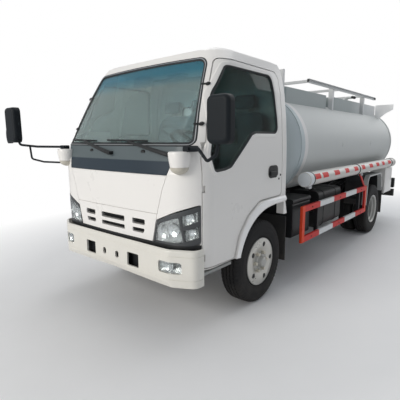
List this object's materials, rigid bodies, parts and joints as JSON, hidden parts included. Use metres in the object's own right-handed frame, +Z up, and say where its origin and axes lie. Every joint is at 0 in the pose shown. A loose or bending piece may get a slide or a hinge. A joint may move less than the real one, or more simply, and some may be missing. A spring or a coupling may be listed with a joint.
{
  "type": "light cab-over tanker truck",
  "caption": "Two-axle cab-over tanker truck with an oval road tank, top walkway rails, hose tubes and side guards.",
  "frame": {"origin": "on the ground, on the centre plane, under the front axle", "axes": "+X to the vehicle's left, +Y to the rear, +Z up"},
  "size_m": [2.6495, 6.045, 2.296],
  "materials": {
    "cab_paint": "gloss white cab paint",
    "tank_paint": "satin silver-grey tank paint",
    "frame_black": "satin black chassis paint",
    "axle_iron": "painted cast iron and forgings",
    "tyre_rubber": "road tyre rubber",
    "wheel_silver": "silver wheel paint",
    "window": "tinted glass",
    "garnish_grey": "dark grey moulded trim",
    "black_trim": "grained black plastic",
    "lamp_unit": "clear lamp unit",
    "bumper_white": "painted bumper",
    "rail_silver": "satin aluminium rails",
    "guard_stripes": "red and white guard paint",
    "hose_silver": "brushed hose tube",
    "seat_cloth": "woven seat cloth",
    "dash_plastic": "soft grained dashboard",
    "flap_rubber": "sheet rubber",
    "red_lamp": "dark rear lamps on a black bar"
  },
  "bodies": {
    "chassis": {"frame_rails": "frame_black", "frame_crossmembers": "frame_black", "front_axle": "axle_iron", "rear_axle": "axle_iron", "leaf_springs": "frame_black", "engine_block": "axle_iron", "radiator": "frame_black", "propeller_shaft": "frame_black", "fuel_tank": "frame_black", "battery_box": "black_trim", "air_tanks": "frame_black", "silencer": "axle_iron", "front_bumper": "bumper_white", "fog_lamps": "lamp_unit", "tank": "tank_paint", "tank_saddles": "frame_black", "coamings": "tank_paint", "rail_posts": "rail_silver", "handrails": "rail_silver", "tank_fittings": "tank_paint", "hose_tubes": "hose_silver", "side_guards": "guard_stripes", "rear_fenders": "cab_paint", "valve_cabinets": "cab_paint", "mud_flaps": "flap_rubber", "rear_underrun": "frame_black", "rear_lamps": "red_lamp", "ladder": "rail_silver"},
    "cab": {"cab_shell": "cab_paint", "front_panel": "cab_paint", "grille": "cab_paint", "cowl_garnish": "garnish_grey", "headlamps": "lamp_unit", "cab_glass": "window", "arch_flares": "cab_paint", "cab_steps": "black_trim", "mirrors": "black_trim", "wipers": "black_trim", "seats": "seat_cloth", "dashboard": "dash_plastic", "steering_wheel": "black_trim"},
    "door_left": {"door_left": "cab_paint", "door_glass_left": "window"},
    "door_right": {"door_right": "cab_paint", "door_glass_right": "window"},
    "knuckle_left": {"knuckle_left": "axle_iron"},
    "knuckle_right": {"knuckle_right": "axle_iron"},
    "tie_rod": {"tie_rod": "axle_iron"},
    "wheel_front_left": {"front_tyre_left": "tyre_rubber", "front_rim_left": "wheel_silver"},
    "wheel_front_right": {"front_tyre_right": "tyre_rubber", "front_rim_right": "wheel_silver"},
    "wheels_rear_left": {"rear_tyres_left": "tyre_rubber", "rear_rims_left": "wheel_silver"},
    "wheels_rear_right": {"rear_tyres_right": "tyre_rubber", "rear_rims_right": "wheel_silver"},
    "lid_front": {"manhole_lid_front": "tank_paint"},
    "lid_rear": {"manhole_lid_rear": "tank_paint"},
    "cabinet_door_left": {"cabinet_door_left": "cab_paint"},
    "cabinet_door_right": {"cabinet_door_right": "cab_paint"}
  },
  "joints": [
    {"name": "cab_tilt", "type": "hinge", "parent": "chassis", "child": "cab", "pos_m": [0, -0.975, 0.705], "axis": [1, 0, 0], "range_deg": [0, 45]},
    {"name": "door_left_swing", "type": "hinge", "parent": "cab", "child": "door_left", "pos_m": [0.848, -0.812, 1], "axis": [0, 0, -1], "range_deg": [0, 70]},
    {"name": "door_right_swing", "type": "hinge", "parent": "cab", "child": "door_right", "pos_m": [-0.848, -0.812, 1], "axis": [0, 0, 1], "range_deg": [0, 70]},
    {"name": "steer_left", "type": "hinge", "parent": "chassis", "child": "knuckle_left", "pos_m": [0.65, 0, 0.387], "axis": [0, 0, 1], "range_deg": [-35, 35]},
    {"name": "steer_right", "type": "hinge", "parent": "chassis", "child": "knuckle_right", "pos_m": [-0.65, 0, 0.387], "axis": [0, 0, 1], "range_deg": [-35, 35]},
    {"name": "tie_rod_turn", "type": "hinge", "parent": "knuckle_left", "child": "tie_rod", "pos_m": [0.65, 0.17, 0.298], "axis": [0, 0, 1], "range_deg": [-35, 35]},
    {"name": "wheel_front_left_spin", "type": "hinge", "parent": "knuckle_left", "child": "wheel_front_left", "pos_m": [0.765, 0, 0.387], "axis": [1, 0, 0], "continuous": true},
    {"name": "wheel_front_right_spin", "type": "hinge", "parent": "knuckle_right", "child": "wheel_front_right", "pos_m": [-0.765, 0, 0.387], "axis": [1, 0, 0], "continuous": true},
    {"name": "wheels_rear_left_spin", "type": "hinge", "parent": "chassis", "child": "wheels_rear_left", "pos_m": [0.7125, 3.36, 0.387], "axis": [1, 0, 0], "continuous": true},
    {"name": "wheels_rear_right_spin", "type": "hinge", "parent": "chassis", "child": "wheels_rear_right", "pos_m": [-0.7125, 3.36, 0.387], "axis": [1, 0, 0], "continuous": true},
    {"name": "lid_front_lift", "type": "hinge", "parent": "chassis", "child": "lid_front", "pos_m": [0, 3.194, 2.072], "axis": [-1, 0, 0], "range_deg": [0, 100]},
    {"name": "lid_rear_lift", "type": "hinge", "parent": "chassis", "child": "lid_rear", "pos_m": [0, 4.284, 2.072], "axis": [-1, 0, 0], "range_deg": [0, 100]},
    {"name": "cabinet_left_swing", "type": "hinge", "parent": "chassis", "child": "cabinet_door_left", "pos_m": [0.9388, 3.908, 0.79], "axis": [0, 0, -1], "range_deg": [0, 110]},
    {"name": "cabinet_right_swing", "type": "hinge", "parent": "chassis", "child": "cabinet_door_right", "pos_m": [-0.9388, 3.908, 0.79], "axis": [0, 0, 1], "range_deg": [0, 110]}
  ],
  "couplings": [
    {"joint": "steer_right", "follows": "steer_left", "ratio": 1},
    {"joint": "tie_rod_turn", "follows": "steer_left", "ratio": -1}
  ]
}
